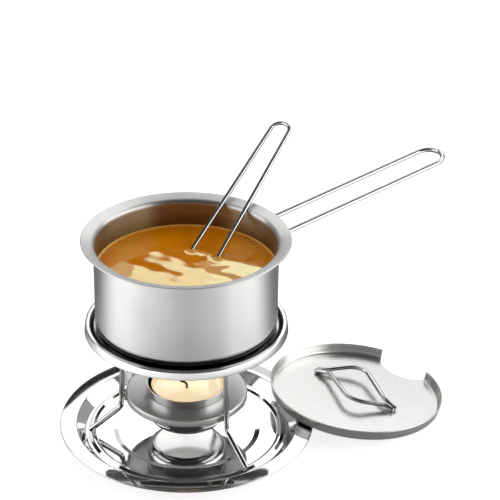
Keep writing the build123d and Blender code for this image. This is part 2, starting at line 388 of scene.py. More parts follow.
def painted_butter_reflection(recipe, place, lines, tone, radius_in, low, top, reflected_butter):
    """Painted butter reflection, streaky brown in a radius between two heights, deeper lower down.
    """
    height = recipe.height(place)
    inside = recipe.ramp(recipe.radius(place), radius_in, radius_in + 0.0004, 1.0, 0.0)
    inside = recipe.math("MULTIPLY", inside, recipe.ramp(height, top - 0.0025, top, 1.0, 0.0))
    inside = recipe.math("MULTIPLY", inside, recipe.ramp(height, low, low + 0.001, 0.0, 1.0))
    streaks = recipe.ramp(lines, 0.35, 0.65, 0.0, 1.0)
    wall = recipe.mix(streaks, shade(reflected_butter, 1.35), shade(reflected_butter, 0.75))
    deep = recipe.ramp(height, top - 0.013, top - 0.003, 1.0, 0.0)
    wall = recipe.mix(deep, wall, shade(reflected_butter, (0.62, 0.48, 0.28)))
    return recipe.mix(inside, tone, wall)


def steel(name, look, centre=(0, 0, 0), turn=(0, 0, 0), mirror_and_shade_below=None, seat_shade=None,
          butter_reflection=None):
    """Stainless steel with lathe lines round the axis, fine cloudiness and handling marks.

    Anisotropy spreads reflections across the lines. Under the height mirror_and_shade_below
    the piece is polished, and its colour is painted darker as shade where it sits in the
    ring. seat_shade is (radius, height): painted shade, darker inside the one and above the
    other. butter_reflection is (radius, low, top, colour): inside that radius, between both
    heights, the wall has a painted reflection of the butter in that colour.
    """
    recipe = Recipe(name)
    place = recipe.place(centre, turn)
    lines = recipe.noise(lathe_vector(recipe, place, look.lines), 1.0, 3.0, 0.65)
    cloudy = recipe.ramp(recipe.noise(place, 55.0, 3.0, 0.55), 0.3, 0.7, -0.02, 0.02)
    roughness = recipe.ramp(lines, 0.3, 0.7, look.roughness * 0.9, look.roughness * 1.12)
    roughness = recipe.math("ADD", roughness, cloudy)
    marks = recipe.math("MULTIPLY", recipe.noise(place, 900.0, 2.0, 0.6), 0.15)
    depth = recipe.math("ADD", lines, marks)
    tone = recipe.mix(recipe.ramp(lines, 0.25, 0.75, 0, 1), shade(look.colour, 0.97),
                      shade(look.colour, 1.03))
    if mirror_and_shade_below is not None:
        # Painted shade: under this height the colour is made darker, where the pot sits down in
        # the ring; the lower roughness there is a real polish.
        polished = recipe.ramp(recipe.height(place), mirror_and_shade_below, mirror_and_shade_below + 0.0012, 0, 1)
        roughness = recipe.math("MULTIPLY", roughness, recipe.math("MAXIMUM", polished, 0.22))
        depth = recipe.math("MULTIPLY", depth, polished)
        tone = recipe.mix(polished, shade(look.colour, 0.45), tone)
    if butter_reflection is not None:
        # Painted reflection of the butter on the pot's inner wall.
        tone = painted_butter_reflection(recipe, place, lines, tone, *butter_reflection)
    if seat_shade is not None:
        # Painted shade: inside the seat's radius and above its height the colour is made darker,
        # where the gap round the pot's bottom lies in shade.
        radius, above = seat_shade
        under = recipe.ramp(recipe.height(place), above, above + 0.0004, 1.0, 0.0)
        bright = recipe.ramp(recipe.radius(place), radius - 0.0006, radius + 0.0006, 0, 1)
        bright = recipe.math("MAXIMUM", bright, under)
        tone = recipe.mix(bright, shade(look.colour, 0.4), tone)
    return recipe.made({
        "Base Color": tone,
        "Metallic": 1.0,
        "Roughness": roughness,
        "Anisotropic": look.anisotropy,
        "Anisotropic Rotation": 0.25,
        "Normal": recipe.bump(depth, look.depth, 0.00002),
        "Tangent": recipe.add("Tangent", direction_type="RADIAL", axis="Z"),
    })


def drawn_wire(name, look):
    """Bright drawn wire: close to a mirror, with faint lengthwise clouding and tiny dents."""
    recipe = Recipe(name)
    place = recipe.place()
    clouds = recipe.noise(place, 120.0, 3.0, 0.6)
    dents = recipe.noise(place, 1500.0, 2.0, 0.5)
    tone = recipe.ramp(clouds, 0.3, 0.7, 0, 1)
    low, high = look.roughness * 0.7, look.roughness * 1.4
    return recipe.made({
        "Base Color": recipe.mix(tone, shade(look.colour, 0.93), shade(look.colour, 1.03)),
        "Metallic": 1.0,
        "Roughness": recipe.ramp(clouds, 0.3, 0.7, low, high),
        "Normal": recipe.bump(dents, look.depth, 0.00002),
    })


def weld_metal(look):
    """Cooled weld: duller steel with a straw and grey tint where it was hot."""
    recipe = Recipe("Weld metal")
    place = recipe.place()
    heat = recipe.ramp(recipe.noise(place, 700.0, 3.0, 0.6), 0.35, 0.65, 0, 1)
    return recipe.made({
        "Base Color": recipe.mix(heat, (0.42, 0.38, 0.33, 1), shade(look.colour)),
        "Metallic": 1.0,
        "Roughness": recipe.ramp(heat, 0, 1, 0.38, 0.2),
        "Normal": recipe.bump(recipe.noise(place, 3000.0, 2.0, 0.5), 0.3, 0.0001),
    })


def candle_wax(look):
    """Warm wax that light passes into, glossy where it has melted round the wick."""
    recipe = Recipe("Candle wax")
    place = recipe.place((CANDLE_AT[0] * MM, 0, 0))
    wander = recipe.ramp(recipe.noise(place, 160.0, 2.0), 0.3, 0.7, -0.0012, 0.0012)
    edge = recipe.math("ADD", recipe.radius(place), wander)
    solid = recipe.ramp(edge, 0.0155, 0.0178, 0.0, 1.0)
    glow = recipe.ramp(edge, 0.0, 0.017, 0.0, 1.0)
    pale = recipe.mix(glow, shade(look.wax_pool_and_glow), shade(look.wax))
    return recipe.made({
        "Base Color": recipe.mix(solid, pale, shade(look.wax_edge)),
        "Roughness": recipe.ramp(solid, 0, 1, 0.12, 0.45),
        "Subsurface Weight": 0.6,
        "Subsurface Radius": (0.008, 0.004, 0.002),
        "Subsurface Scale": 0.5,
        # Painted glow: all the wax emits a warm light of its own, though it is no lamp.
        "Emission Color": shade(look.wax_pool_and_glow),
        "Emission Strength": 0.55,
        "Normal": recipe.bump(recipe.noise(place, 900.0, 3.0, 0.6), 0.12, 0.0002),
    })


def wick_cotton():
    """Braided cotton, charred black at the tip and orange-brown with wax below."""
    recipe = Recipe("Burnt cotton wick")
    place = recipe.place((CANDLE_AT[0] * MM - 0.0012, WICK_AT[1] * MM, WAX_LEVEL * MM))
    strands = recipe.add("TexWave", {"Vector": place, "Scale": 900.0, "Distortion": 3.0},
                         "Fac", wave_type="BANDS", bands_direction="DIAGONAL")
    char = recipe.ramp(recipe.height(place), 0.0004, 0.0030, 0.0, 1.0)
    strand_tone = recipe.mix(strands, (0.26, 0.09, 0.02, 1), (0.50, 0.22, 0.06, 1))
    return recipe.made({
        "Base Color": recipe.mix(char, strand_tone, (0.11, 0.040, 0.014, 1)),
        "Roughness": 0.75,
        "Normal": recipe.bump(strands, 0.8, 0.0002),
    })


def melted_butter(look):
    """Amber melted butter: deep in the middle, paler and foamy by the wall, with fine specks.

    A greenish-yellow specular tint keeps the reflected panels cream, not pink.
    """
    recipe = Recipe("Melted butter")
    place = recipe.place()
    swirl = recipe.ramp(recipe.noise(place, 34.0, 4.0, 0.6), 0.32, 0.68, 0.0, 1.0)
    specks = recipe.ramp(recipe.noise(place, 700.0, 2.0, 0.5), 0.66, 0.74, 0.0, 0.35)
    rim = recipe.ramp(recipe.radius(place), 0.0435, 0.0449, 0.0, 0.75)
    tone = recipe.mix(swirl, shade(look.sauce_deep), shade(look.sauce))
    tone = recipe.mix(rim, tone, shade(look.sauce_pale))
    return recipe.made({
        "Base Color": recipe.mix(specks, tone, shade(look.sauce_pale)),
        "Roughness": 0.03,
        "IOR": 1.72,
        "Specular Tint": (0.55, 1.0, 0.30, 1.0),
        "Subsurface Weight": 0.25,
        "Subsurface Radius": (0.010, 0.004, 0.001),
        "Subsurface Scale": 0.4,
        # Painted glow: the butter emits a faint light in its own colour, though it is no lamp.
        "Emission Color": shade(look.sauce),
        "Emission Strength": 0.24,
    })


def butter_foam(look):
    """Thin skins of foam bubbles: pale, glossy and slightly see-through."""
    recipe = Recipe("Butter foam")
    tone = recipe.ramp(recipe.noise(recipe.place(), 400.0, 2.0), 0.35, 0.65, 0.0, 1.0)
    return recipe.made({
        "Base Color": recipe.mix(tone, shade(look.sauce), shade(look.sauce_pale)),
        "Roughness": 0.08,
        "Alpha": 0.62,
        "Coat Weight": 0.6,
    })


def aluminium_foil():
    """Thin drawn aluminium, softly creased round the wall."""
    recipe = Recipe("Drawn aluminium")
    place = recipe.vector("MULTIPLY", recipe.place(), (1, 1, 0.15))
    creases = recipe.noise(place, 900.0, 3.0, 0.6)
    return recipe.made({
        "Base Color": recipe.mix(creases, (0.78, 0.78, 0.79, 1), (0.93, 0.93, 0.93, 1)),
        "Metallic": 1.0,
        "Roughness": recipe.ramp(creases, 0.3, 0.7, 0.16, 0.32),
        "Normal": recipe.bump(creases, 0.35, 0.00008),
    })


# ---- values a user would change -----------------------------------------------------------

def size(name, description, mm):
    """A length that a user can change, given in millimetres."""
    return FloatProperty(name=name, description=description, default=mm * MM, unit="LENGTH",
                         subtype="DISTANCE", min=0.0, precision=5)


def share(name, description, value):
    """A number between none and all."""
    return FloatProperty(name=name, description=description, default=value, min=0.0, max=1.0,
                         subtype="FACTOR")


def colour(name, description, value):
    """A colour that a user can change."""
    return FloatVectorProperty(name=name, description=description, default=value, size=3,
                               subtype="COLOR", min=0.0, max=1.0)


def half_width(node):
    """Half of a node's extent from side to side."""
    low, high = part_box(node)
    return (high.x - low.x) / 2 / MM


def foot_of(node):
    """Height of a node's lowest point over the table."""
    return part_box(node)[0].z / MM


def top_of(node):
    """Height of a node's highest point over the table."""
    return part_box(node)[1].z / MM


class FonduePot(bpy.types.PropertyGroup):
    inner_radius: size("Inner radius", "Inside radius of the straight wall", 45.0)
    rim_radius: size("Rim radius", "Outer radius of the flared rim", half_width("pot_body"))
    rim_height: size("Rim height", "Top of the rim over the table", top_of("pot_body"))
    foot_height: size("Foot height", "Underside over the table", foot_of("pot_body"))
    handle_gap: size("Handle gap", "Between the centres of the handle's two wires", 16.6)
    handle_reach: size("Handle reach", "From the pot's axis to the tip of its handle", 152.4)
    handle_wire: size("Handle wire", "Diameter of the handle's wire", 2.6)
    sauce_height: size("Sauce level", "Level of the sauce over the table", top_of("sauce"))


class FondueStand(bpy.types.PropertyGroup):
    ring_radius: size("Ring radius", "Lower edge of the ring's skirt", half_width("stand_ring"))
    ring_height: size("Ring height", "Top of the ring over the table", top_of("stand_ring"))
    leg_wire: size("Leg wire", "Diameter of the legs' wire", 2.8)
    shelf_radius: size("Shelf radius", "Outer radius of the shelf", half_width("tealight_shelf"))
    shelf_height: size("Shelf height", "Its top over the table", top_of("tealight_shelf"))
    holder_radius: size("Holder radius", "Outer radius of the tealight holder",
                        half_width("tealight_holder"))


class FondueTray(bpy.types.PropertyGroup):
    rim_radius: size("Rim radius", "Outer radius of the tray", half_width("base_tray"))
    height: size("Height", "Top of the rim over the table", top_of("base_tray"))
    bead_radius: size("Bead radius", "Radius of the raised bead the legs stand on", 48.8)
    middle_radius: size("Middle radius", "Radius of the lower middle of the floor", 35.0)


class FondueLid(bpy.types.PropertyGroup):
    rim_radius: size("Rim radius", "Outer radius at the lid's upper edge", 46.0)
    depth: size("Depth", "Height of the lid's wall", 5.8)
    notch_radius: size("Notch radius", "Radius of the notch for the ladle", 17.0)
    notch_reach: size("Notch reach", "From the lid's middle to the notch's centre", 50.4)
    handle_wire: size("Handle wire", "Diameter of the lid handle's wires", 2.4)


class FondueLook(bpy.types.PropertyGroup):
    satin: colour("Satin steel", "Brushed steel of the pot, shelf and lid", (0.60, 0.595, 0.585))
    satin_roughness: share("Satin roughness", "Roughness of the brushed steel", 0.36)
    polished: colour("Polished steel", "Bright steel of the tray and ring", (0.70, 0.70, 0.695))
    polished_roughness: share("Polished roughness", "Roughness of the bright steel", 0.06)
    wire: colour("Wire", "Steel of the wires", (0.62, 0.62, 0.615))
    wax: colour("Wax", "Wax of the tealight", (1.0, 0.86, 0.62))
    # Also the colour of the wax's painted glow.
    wax_pool_and_glow: colour("Warm wax", "Wax round the wick", (1.0, 0.79, 0.47))
    wax_edge: colour("Wax edge", "Wax by the cup's wall", (0.85, 0.55, 0.28))
    sauce: colour("Sauce", "Thin or well-lit sauce", (0.62, 0.200, 0.0006))
    sauce_deep: colour("Deep sauce", "Sauce seen through its depth", (0.47, 0.108, 0.0004))
    sauce_pale: colour("Pale sauce", "Foam and the edge of the sauce", (0.90, 0.62, 0.22))


class FondueStage(bpy.types.PropertyGroup):
    floor: colour("Floor", "Colour of the floor", (0.70, 0.70, 0.70))
    side_light: FloatProperty(name="Side lights", description="Strength of both side panels",
                              default=14.0, min=0.0, unit="POWER")
    back_light: FloatProperty(name="Back light", description="Strength of the high back panel",
                              default=29.0, min=0.0, unit="POWER")
    bounce: FloatProperty(name="Bounce", description="Light thrown up by the floor at the sides",
                          default=1.9, min=0.0)
    sky: share("Room light", "Brightness of the room round the set", 1.0)


GROUPS = {
    "fondue_pot": FonduePot,
    "fondue_stand": FondueStand,
    "fondue_tray": FondueTray,
    "fondue_lid": FondueLid,
    "fondue_look": FondueLook,
    "fondue_stage": FondueStage,
}


def in_mm(group):
    """A property group's lengths in millimetres."""
    return SimpleNamespace(**{n: getattr(group, n) / MM for n in group.__annotations__})


def steel_look(look, kind, **changes):
    """Colour and finish values of satin, polished or wire steel, with any changes to them."""
    colours = {"satin": look.satin, "polished": look.polished, "wire": look.wire}
    rough = look.satin_roughness if kind == "satin" else look.polished_roughness
    lines, depth, anisotropy = {
        "satin": (6500.0, 0.05, 0.88),
        "polished": (2600.0, 0.04, 0.4),
        "wire": (0.0, 0.08, 0.0),
    }[kind]
    values = {"colour": tuple(colours[kind]), "roughness": rough, "lines": lines,
              "depth": depth, "anisotropy": anisotropy}
    return SimpleNamespace(**{**values, **changes})


# ---- pieces -----------------------------------------------------------------------------

class FONDUE_OT_tray(bpy.types.Operator):
    """Build the tray: a stepped floor, a raised bead, a sloping wall and a flat rim."""

    bl_idname = "fondue.tray"
    bl_label = "Tray"

    def execute(self, context):
        tray = in_mm(context.scene.fondue_tray)
        step_width, bead_foot, bead_crown = 3.0, 1.9, 0.4
        wall_foot, wall_top = 52.0, 56.9
        bends = [2.0, 2.0, 1.2, 0.3, 0.3, 0.5, 0.5, 1.6]
        bead, bead_top = tray.bead_radius, TRAY_SEAT + BEAD_RISE
        line = [
            (0, SHEET), (tray.middle_radius, SHEET),
            (tray.middle_radius + step_width, TRAY_SEAT), (bead - bead_foot, TRAY_SEAT),
            (bead - bead_crown, bead_top), (bead + bead_crown, bead_top),
            (bead + bead_foot, TRAY_SEAT), (wall_foot, TRAY_SEAT),
            (wall_top, tray.height), (tray.rim_radius, tray.height),
        ]
        look = steel_look(context.scene.fondue_look, "polished")
        piece("tray_plate", [spun(sheet_outline(line, bends, SHEET, 11), 360)],
              steel("Tray steel", look), "tray", "polished_steel", "base_tray")
        return {"FINISHED"}


def ring_outline(stand):
    """The ring's section: a skirt, a rounded crown and the seat that the pot stands on."""
    skirt, lean, crown, seat_edge, flame_radius = 4.4, 0.6, 2.7, 4.5, 28.0
    bends = [0.95, 0.95, 1.5]
    top, edge = stand.ring_height, stand.ring_radius
    line = [
        (edge, top - skirt), (edge - lean, top), (edge - crown, top),
        (edge - seat_edge, top - RING_DROP), (flame_radius, top - RING_DROP),
    ]
    return sheet_outline(line, bends, -RING_SHEET, 13)


def weld_nugget(angle, shelf_radius, height):
    """Weld bead: a long ball whose radius swells and sinks along and round it."""
    thick, half_length, proud = 1.1, 3.8, 0.35
    along = np.linspace(-1, 1, 33)[:, None]
    around = turns(40)
    reach = np.sqrt(np.clip(1 - along ** 2, 0, 1)) ** 0.8
    swell = 1 + 0.10 * np.sin(15 * along + angle) + 0.06 * np.cos(3 * around + 4 * along)
    r = thick * reach * swell
    x = shelf_radius + proud + r * np.cos(around)
    z = height + r * np.sin(around)
    vertices, faces = skin(np.stack([x, half_length * along + 0 * around, z], -1))
    return turn_z(vertices, angle), faces


def leg_path(stand):
    """A leg's wire: down from under the ring, then bent outwards to the tray's bead."""
    foot_slope, bend_radius = math.radians(39.1), 5.0
    top_radius, knee_radius, foot_radius = 31.8, 33.7, 49.8
    knee_height, below_seat = 16.8, 0.6
    foot_height = TRAY_SEAT + BEAD_RISE + stand.leg_wire / 2 * math.cos(foot_slope)
    ring_under = stand.ring_height - RING_DROP - RING_SHEET
    bend = [(top_radius, 0, ring_under - below_seat), (knee_radius, 0, knee_height),
            (foot_radius, 0, foot_height)]
    return even(rounded(bend, [bend_radius], 17), 2.0)


class FONDUE_OT_stand(bpy.types.Operator):
    """Build the stand: ring, shelf, tealight holder, three wire legs and their welds."""

    bl_idname = "fondue.stand"
    bl_label = "Stand"

    def execute(self, context):
        stand = in_mm(context.scene.fondue_stand)
        look = context.scene.fondue_look
        ring_look = steel_look(look, "polished", roughness=0.17)
        # Painted shade on the ring's inner slope above the seat, in the gap round the pot.
        seat_radius, seat_top = 0.0480, 0.0627
        ring_steel = steel("Ring steel", ring_look, seat_shade=(seat_radius, seat_top))
        piece("stand_ring_plate", [spun(ring_outline(stand))], ring_steel,
              "stand", "polished_steel", "stand_ring")

        edge_lean, edge_drop, edge_bend, weld_drop = 0.4, 3.6, 1.2, 2.3
        shelf_line = [
            (stand.holder_radius, stand.shelf_height),
            (stand.shelf_radius - edge_lean, stand.shelf_height),
            (stand.shelf_radius, stand.shelf_height - edge_drop),
        ]
        satin = steel_look(look, "satin", roughness=0.42, anisotropy=0.0)
        piece("shelf_plate", [spun(sheet_outline(shelf_line, [edge_bend], SHEET, 13))],
              steel("Shelf steel", satin), "stand", "satin_steel", "tealight_shelf")

        floor, lip_foot, lip_out, lip_up = 9.0, 29.0, 0.8, 0.75
        inner = stand.holder_radius - THIN_SHEET
        holder_line = [(0, floor), (inner, floor), (inner, lip_foot),
                       (inner + lip_out, lip_foot + lip_up)]
        holder_look = steel_look(look, "polished", roughness=0.13)
        piece("holder_cup", [spun(sheet_outline(holder_line, [3.5, 0.7], THIN_SHEET, 15))],
              steel("Holder steel", holder_look), "stand", "polished_steel", "tealight_holder")

        wire_look = steel_look(look, "wire")
        leg_steel, weld = drawn_wire("Leg wire", wire_look), weld_metal(wire_look)
        vertices, faces = wire(leg_path(stand), stand.leg_wire / 2, (0, 1, 0))
        for number, angle in enumerate(LEG_TURNS, 1):
            piece(f"wire_leg_{number}", [(turn_z(vertices, angle), faces)], leg_steel,
                  "stand", "steel_wire", f"stand_leg_{number}")
            nugget = weld_nugget(angle, stand.shelf_radius, stand.shelf_height - weld_drop)
            piece(f"weld_{number}", [nugget], weld, "stand", "steel_wire", f"leg_weld_{number}")
        return {"FINISHED"}


def wax_shape(radius, floor):
    """Wax with a shallow melted pool and a thin rise where it clings to the cup.

    height = level + rise exp(-(radius - r) / 0.5) - pool / (1 + exp((r - edge) / 0.35))
    """
    rise, pool, edge = 0.45, 0.35, 14.5
    r = np.linspace(radius - 0.02, 0, 90)
    z = WAX_LEVEL + rise * np.exp(-(radius - r) / 0.5) - pool / (1 + np.exp((r - edge) / 0.35))
    side = rounded([(0, floor), (radius, floor), (radius, z[0])], [3.2], 11)
    return spun(np.vstack([side, np.stack([r, z], 1)]), 192, CANDLE_AT)


def wick_shape(foot, top):
    """Three twisted strands along the wick's bent path, thinning to a frayed tip."""
    strand_radius, twists, lean = 0.40, 9, (-3.4, 1.1, 0.5)
    x, y = WICK_AT
    bend = [(x, y, foot), (x, y, top), (x + lean[0], y + lean[1], top + lean[2])]
    path = even(rounded(bend, [1.6], 15), 0.25)
    along = np.linspace(0, 1, len(path))
    fade = 0.33 * (1 - 0.35 * along ** 4)
    shapes = []
    for strand in range(3):
        phase = 2 * math.pi * twists * along + strand * 2 * math.pi / 3
        offset = np.stack([np.cos(phase), np.sin(phase), 0.4 * np.sin(phase)], 1)
        line = path + offset * fade[:, None]
        shapes.append(wire(line, strand_radius, (0.3, 0.9, 0.2), 14))
    return shapes


class FONDUE_OT_tealight(bpy.types.Operator):
    """Build the tealight: foil cup, wax, wick and the tab that holds the wick."""

    bl_idname = "fondue.tealight"
    bl_label = "Tealight"

    def execute(self, context):
        look = context.scene.fondue_look
        foil = aluminium_foil()
        cup_radius, cup_top, cup_bend, foil_sheet = 18.4, 28.0, 3.2, 0.3
        cup_line = [(0, CUP_FLOOR), (cup_radius, CUP_FLOOR), (cup_radius, cup_top)]
        cup = spun(sheet_outline(cup_line, [cup_bend], foil_sheet, 11), 240, CANDLE_AT)
        piece("tealight_foil", [cup], foil, "tealight", "aluminium_foil", "tealight_cup")
        piece("wax_fill", [wax_shape(18.36, 9.35)], candle_wax(look),
              "tealight", "candle_wax", "tealight_wax")
        piece("wick_strands", wick_shape(9.9, 29.4), wick_cotton(),
              "tealight", "burnt_wick", "tealight_wick")
        bore, sleeve, tab_radius = 0.78, 1.5, 6.5
        foot, sheet_top, sleeve_top = 9.34, 9.6, 12.6
        tab_line = [(bore, sleeve_top), (bore, sheet_top), (sleeve, sheet_top),
                    (sleeve, sleeve_top)]
        plate_line = [(0, foot), (tab_radius, foot), (tab_radius, sheet_top), (0, sheet_top)]
        tab = [spun(tab_line, 48, WICK_AT), spun(plate_line, 64, WICK_AT)]
        piece("wick_tab", tab, foil, "tealight", "aluminium_foil", "wick_sustainer")
        return {"FINISHED"}

def handle_path(pot):
    """The pot handle's wire: up along the wall, out, round the tip and back, in its own frame."""
    weld_foot, bend_height, bend_radius = 92.0, 104.0, 4.5
    slope = math.tan(math.radians(10.6))
    half, tip = pot.handle_gap / 2, pot.handle_reach
    wall = math.sqrt((pot.inner_radius + SHEET + pot.handle_wire / 2) ** 2 - half ** 2)
    tip_height = bend_height + (tip - wall) * slope
    side = [(wall, half, weld_foot), (wall, half, bend_height), (tip, half, tip_height)]
    corners = side + [(x, -y, z) for x, y, z in side[::-1]]
    return even(rounded(corners, [bend_radius, half - 0.02, half - 0.02, bend_radius], 25), 2.5)


class FONDUE_OT_pot(bpy.types.Operator):
    """Build the pot with its flared rim, and its long wire handle."""

    bl_idname = "fondue.pot"
    bl_label = "Pot"

    def execute(self, context):
        pot = in_mm(context.scene.fondue_pot)
        look = context.scene.fondue_look
        wall_top, lip_in, lip_down, bends = 109.75, 0.2, 0.1, [4.3, 2.6]
        floor = pot.foot_height + SHEET
        line = [
            (0, floor), (pot.inner_radius, floor), (pot.inner_radius, wall_top),
            (pot.rim_radius - lip_in, pot.rim_height - lip_down),
        ]
        # Painted shade: below the first of these heights the pot is polished and coloured darker,
        # where it sits down in the ring.
        foot_mirror_and_shade, reflection_radius, reflection_low, reflection_top = 0.0684, 0.0452, 0.072, 0.1095
        # Painted reflection: the inner wall above the butter is coloured grey-brown, deeper amber
        # near the butter, as the butter's reflection.
        reflected_butter = (reflection_radius, reflection_low, reflection_top, (0.34, 0.285, 0.215))
        satin = steel("Pot steel", steel_look(look, "satin"), mirror_and_shade_below=foot_mirror_and_shade,
                      butter_reflection=reflected_butter)
        piece("pot_shell", [spun(sheet_outline(line, bends, SHEET, 17), 360)], satin,
              "pot", "satin_steel", "pot_body")

        vertices, faces = wire(handle_path(pot), pot.handle_wire / 2, (0, 0.7, 0.7))
        piece("pot_wire_handle", [(turn_z(vertices, HANDLE_TURN), faces)],
              drawn_wire("Handle wire", steel_look(look, "wire")),
              "pot", "steel_wire", "pot_handle")
        return {"FINISHED"}


def wire_entries(level):
    """Where the ladle's two wires pass through the sauce's surface."""
    middle, ahead, across = ladle_axes()
    centre = middle + ahead * (level - middle[2]) / ahead[2]
    return [centre[:2] + across[:2] * sign * LADLE_HALF for sign in (-1, 1)]


def sauce_height(x, y, radius, level):
    """Slow swells, a rise at the wall and at both ladle wires, and rings round the wires.

    The swells are sine waves 9 to 20 mm long and at most 0.02 mm high. A rise falls off as
    exp(-distance / 0.8) from a wire, and as exp(-distance / 0.9) from the wall.
    """
    wire_rise, wall_rise, ring_height, ring_length = 0.75, 0.85, 0.014, 5.5
    z = level + 0.020 * np.sin(0.21 * x + 0.24 * y + 0.6) + 0.008 * np.sin(0.43 * x - 0.19 * y)
    z = z + 0.004 * np.sin(0.31 * x + 0.62 * y + 2.1)
    for at in wire_entries(level):
        d = np.hypot(x - at[0], (y - at[1]) * 0.8)
        z = z + wire_rise * np.exp(-np.maximum(d - 1.1, 0) / 0.8)
        z = z + ring_height * np.cos(2 * math.pi * d / ring_length) * np.exp(-d / 6.0)
    return z + wall_rise * np.exp(-(radius - np.hypot(x, y)) / 0.9)


def sauce_shape(pot):
    """The sauce's surface on a polar grid, closed by the pot's own wall and floor line."""
    gap = 0.03
    inner, floor = pot.inner_radius - gap, pot.foot_height + SHEET + gap
    t = turns(432)
    near_wall = inner - np.geomspace(0.02, 4.0, 16)
    r = np.concatenate([[inner], near_wall, np.linspace(inner - 4.6, 0, 120)])[:, None]
    x, y = r * np.cos(t), r * np.sin(t)
    top = np.stack([x, y, sauce_height(x, y, inner, pot.sauce_height)], -1)
    wall = rounded([(0, floor), (inner, floor), (inner, pot.sauce_height)], [4.2], 9)[:-1]
    return skin(np.concatenate([about_axis(wall[:, :1], wall[:, 1:], t), top]))


def foam_shape(pot):
    """Clusters of foam bubbles floating by the wall: many small domes of a few sizes.

    A dome's point is centre + r (cos a cos b, cos a sin b, 0.7 sin a). Each bubble belongs
    to one of three banks, which have a middle angle, a spread and a depth from the wall.
    """
    rng = np.random.default_rng(11)
    count, sunk = 420, 0.05
    bank = rng.integers(0, 3, count)
    middle, spread, reach = np.array([(178.0, 30.0, 2.3), (318.0, 13.0, 3.6),
                                      (40.0, 22.0, 2.0)])[bank].T
    angle = np.radians(middle + rng.normal(0, 1, count) * spread)
    inset = np.abs(rng.normal(0, 1, count)) * reach
    size = rng.gamma(3.0, 0.10, count).clip(0.14, 0.9)
    r = pot.inner_radius - size - 0.3 - inset
    x, y = r * np.cos(angle), r * np.sin(angle)
    z = sauce_height(x, y, pot.inner_radius, pot.sauce_height) - sunk
    a = np.linspace(-0.6, math.pi / 2, 6)[:, None]
    dome = about_axis(np.cos(a), 0.7 * np.sin(a), turns(12))
    low = np.repeat([[[0, 0, -0.4]]], 12, 1)
    unit_points, unit_faces = skin(np.concatenate([low, dome]))
    centres = np.stack([x, y, z], 1)
    points = centres[:, None] + unit_points[None] * size[:, None, None]
    steps = np.arange(count) * len(unit_points)
    faces = [[i + s for i in face] for s in steps.tolist() for face in unit_faces]
    return points.reshape(-1, 3), faces


class FONDUE_OT_sauce(bpy.types.Operator):
    """Build the melted butter in the pot, with its foam."""

    bl_idname = "fondue.sauce"
    bl_label = "Sauce"

    def execute(self, context):
        pot = in_mm(context.scene.fondue_pot)
        look = context.scene.fondue_look
        piece("sauce_surface", [sauce_shape(pot)], melted_butter(look),
              "pot", "butter_sauce", "sauce")
        piece("sauce_foam", [foam_shape(pot)], butter_foam(look), "pot", "butter_sauce")
        return {"FINISHED"}


def ladle_axes():
    """Middle of the ladle's handle, its direction up to the tip, and its sideways direction."""
    turn, tilt = math.radians(59.4), math.radians(29.0)
    ahead = np.array([math.cos(turn) * math.cos(tilt), math.sin(turn) * math.cos(tilt),
                      math.sin(tilt)])
    return np.array([9.8, 16.0, 96.6]), ahead, np.array([math.sin(turn), -math.cos(turn), 0])


def ladle_path():
    """One loop: up one side, round the tip and down the other, drawing in towards the tip.

    At the middle the wires are LADLE_HALF from the line between them, and tip_half where
    the tip's arc begins.
    """
    middle, ahead, across = ladle_axes()
    tip_half, up, down = 5.25, 86.0, 46.0
    draw_in = (LADLE_HALF - tip_half) / (up - tip_half)
    lower, inside = LADLE_HALF + draw_in * down, LADLE_HALF - draw_in * up
    foot, tip = middle - ahead * down, middle + ahead * up
    corners = [foot - across * lower, tip - across * inside, tip + across * inside,
               foot + across * lower]
    return even(rounded(corners, [inside - 0.15, inside - 0.15], 25), 2.5)


class FONDUE_OT_ladle(bpy.types.Operator):
    """Build the ladle: a round bowl under the sauce on one long wire loop."""

    bl_idname = "fondue.ladle"
    bl_label = "Ladle"

    def execute(self, context):
        look = context.scene.fondue_look
        floor, floor_radius, rim_radius, rim, wire_radius = 64.9, 11.2, 13.4, 78.2, 1.1
        line = [(0, floor), (floor_radius, floor), (rim_radius, rim)]
        bowl = spun(sheet_outline(line, [7.5], THIN_SHEET, 17), 192, LADLE_BOWL_AT)
        x, y = LADLE_BOWL_AT
        bright = steel("Ladle bowl steel", steel_look(look, "polished"), (x * MM, y * MM, 0))
        piece("ladle_cup", [bowl], bright, "ladle", "polished_steel", "ladle_bowl")
        reference = np.cross(*ladle_axes()[1:])
        piece("ladle_wire", [wire(ladle_path(), wire_radius, reference)],
              drawn_wire("Ladle wire", steel_look(look, "wire")),
              "ladle", "steel_wire", "ladle_handle")
        return {"FINISHED"}


def lid_place():
    """Rotation and position of the lid: its notch turned, tilted up on the tray's rim."""
    turn, tilt, notch = math.radians(LID_ANGLE), LID_TILT, math.radians(LID_NOTCH_TURN)
    turning = (Matrix.Rotation(turn, 3, "Z") @ Matrix.Rotation(tilt, 3, "Y")
               @ Matrix.Rotation(notch, 3, "Z"))
    at = (LID_REACH * math.cos(turn), LID_REACH * math.sin(turn), LID_FOOT_R * math.sin(tilt))
    return turning, np.array(at)


def laid(vertices):
    """Lid points from its own frame to where it lies."""
    turning, at = lid_place()
    return vertices @ np.array(turning).T + at


